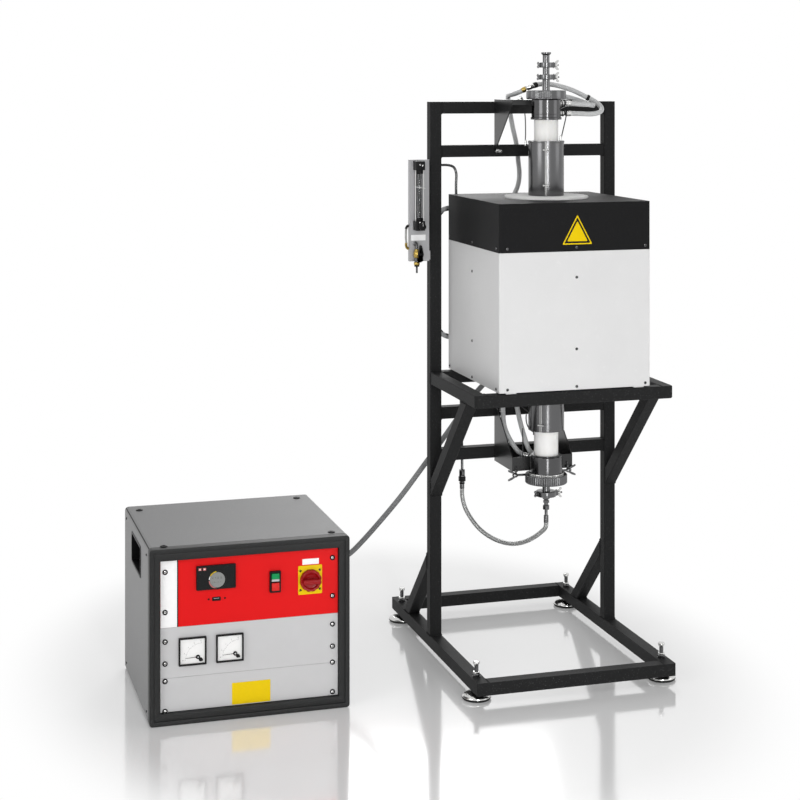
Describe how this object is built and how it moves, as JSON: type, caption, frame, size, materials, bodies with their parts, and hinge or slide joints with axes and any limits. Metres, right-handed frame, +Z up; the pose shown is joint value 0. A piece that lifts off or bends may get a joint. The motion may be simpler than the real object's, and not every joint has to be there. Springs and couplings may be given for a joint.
{
  "type": "vertical tube furnace",
  "caption": "Vertical tube furnace on a welded stand, with a ceramic work tube between water-cooled sealing heads, a gas flow meter and a separate control cabinet.",
  "frame": {"origin": "middle of the object's footprint on the floor", "axes": "+Z up along the work tube, -Y towards the operator, -X towards the control cabinet"},
  "size_m": [1.489, 0.83, 1.781],
  "materials": {
    "stand_paint": "fine-textured charcoal powder coat",
    "cover_paint": "fine-textured black powder coat",
    "case_paint": "smooth pale grey powder coat",
    "steel": "turned and brushed stainless steel",
    "fibre": "white vacuum-formed ceramic fibre",
    "ceramic": "dense white alumina ceramic",
    "hose": "clear grey braided hose",
    "steel_hose": "stainless braided hose",
    "cable": "mid grey cable sheath",
    "brass": "turned brass",
    "black_plastic": "fine moulded black plastic",
    "glass": "clear glass",
    "cabinet_paint": "textured grey powder coat",
    "cabinet_frame": "textured dark grey frame",
    "red_paint": "satin red front panel",
    "panel_grey": "satin light grey front panel",
    "red_plastic": "red moulded plastic",
    "green_plastic": "green translucent plastic",
    "dial_white": "white dial behind a clear window",
    "dark_metal": "dark grey enamel"
  },
  "bodies": {
    "furnace_and_cabinet": {"base_frame": "stand_paint", "back_frame": "stand_paint", "shelf_frame": "stand_paint", "levelling_foot_front_left": "steel", "levelling_foot_front_right": "steel", "levelling_foot_back_left": "steel", "levelling_foot_back_right": "steel", "case_shell": "case_paint", "top_cover": "cover_paint", "insulation_block": "fibre", "heater_module": "ceramic", "work_tube": "ceramic", "upper_heat_shield": "steel", "lower_heat_shield": "steel", "terminal_box": "dark_metal", "upper_head_body": "steel", "upper_end_flange": "steel", "upper_nipple": "steel", "vent_port": "steel", "neck_clamp": "steel", "cap_clamp": "steel", "lower_head_body": "steel", "lower_end_flange": "steel", "lower_clamp": "steel", "gas_adapter": "steel", "upper_bracket": "stand_paint", "lower_bracket": "stand_paint", "water_hose_return": "hose", "water_hose_riser": "hose", "water_hose_supply": "hose", "gas_tube": "steel", "gas_hose": "steel_hose", "power_cable": "cable", "flow_panel": "case_paint", "flow_meter_body": "black_plastic", "flow_meter_tube": "glass", "gas_valve_body": "brass", "cabinet_body": "cabinet_paint", "front_frame": "cabinet_frame", "control_panel": "red_paint", "meter_panel": "panel_grey", "blank_panel": "panel_grey", "temperature_controller": "black_plastic", "switch_housing": "black_plastic", "left_meter": "dial_white", "right_meter": "dial_white", "power_transformer": "dark_metal"},
    "cap_clamp_wing_nut_body": {"cap_clamp_wing_nut": "steel"},
    "flow_meter_float_body": {"flow_meter_float": "steel"},
    "gas_valve_lever_body": {"gas_valve_lever": "black_plastic"},
    "isolator_knob_body": {"isolator_knob": "red_plastic"},
    "left_meter_needle_body": {"left_meter_needle": "black_plastic"},
    "lower_clamp_wing_nut_body": {"lower_clamp_wing_nut": "steel"},
    "lower_union_ring_body": {"lower_union_ring": "steel"},
    "neck_clamp_wing_nut_body": {"neck_clamp_wing_nut": "steel"},
    "needle_valve_knob_body": {"needle_valve_knob": "black_plastic"},
    "right_meter_needle_body": {"right_meter_needle": "black_plastic"},
    "start_button_body": {"start_button": "green_plastic"},
    "stop_button_body": {"stop_button": "red_plastic"},
    "upper_union_ring_body": {"upper_union_ring": "steel"}
  },
  "joints": [
    {"name": "isolator_turn", "type": "hinge", "parent": "furnace_and_cabinet", "child": "isolator_knob_body", "pos_m": [-0.3088, -0.323, 0.35], "axis": [0, 1, 0], "range_deg": [0, 90]},
    {"name": "start_button_press", "type": "slide", "parent": "furnace_and_cabinet", "child": "start_button_body", "axis": [0, 1, 0], "range_m": [0, 0.004], "stiffness_N_per_m": 300},
    {"name": "stop_button_press", "type": "slide", "parent": "furnace_and_cabinet", "child": "stop_button_body", "axis": [0, 1, 0], "range_m": [0, 0.004], "stiffness_N_per_m": 300},
    {"name": "left_meter_swing", "type": "hinge", "parent": "furnace_and_cabinet", "child": "left_meter_needle_body", "pos_m": [-0.604, -0.3138, 0.163], "axis": [0, 1, 0], "range_deg": [0, 88], "stiffness_Nm_per_rad": 0.002},
    {"name": "right_meter_swing", "type": "hinge", "parent": "furnace_and_cabinet", "child": "right_meter_needle_body", "pos_m": [-0.504, -0.3138, 0.163], "axis": [0, 1, 0], "range_deg": [0, 88], "stiffness_Nm_per_rad": 0.002},
    {"name": "gas_valve_turn", "type": "hinge", "parent": "furnace_and_cabinet", "child": "gas_valve_lever_body", "pos_m": [0.09, -0.025, 1.191], "axis": [0, 1, 0], "range_deg": [0, 90]},
    {"name": "needle_valve_turn", "type": "hinge", "parent": "furnace_and_cabinet", "child": "needle_valve_knob_body", "pos_m": [0.093, -0.025, 1.272], "axis": [0, -1, 0], "range_deg": [0, 1080]},
    {"name": "float_rise", "type": "slide", "parent": "furnace_and_cabinet", "child": "flow_meter_float_body", "axis": [0, 0, 1], "range_m": [0, 0.13]},
    {"name": "neck_wing_nut_turn", "type": "hinge", "parent": "furnace_and_cabinet", "child": "neck_clamp_wing_nut_body", "pos_m": [0.427, -0.171, 1.709], "axis": [1, 0, 0], "continuous": true},
    {"name": "cap_wing_nut_turn", "type": "hinge", "parent": "furnace_and_cabinet", "child": "cap_clamp_wing_nut_body", "pos_m": [0.427, -0.171, 1.7437], "axis": [1, 0, 0], "continuous": true},
    {"name": "lower_wing_nut_turn", "type": "hinge", "parent": "furnace_and_cabinet", "child": "lower_clamp_wing_nut_body", "pos_m": [0.427, -0.171, 0.5026], "axis": [1, 0, 0], "continuous": true},
    {"name": "upper_ring_turn", "type": "hinge", "parent": "furnace_and_cabinet", "child": "upper_union_ring_body", "pos_m": [0.427, -0.171, 1.657], "axis": [0, 0, 1], "continuous": true},
    {"name": "lower_ring_turn", "type": "hinge", "parent": "furnace_and_cabinet", "child": "lower_union_ring_body", "pos_m": [0.427, -0.171, 0.548], "axis": [0, 0, 1], "continuous": true}
  ]
}
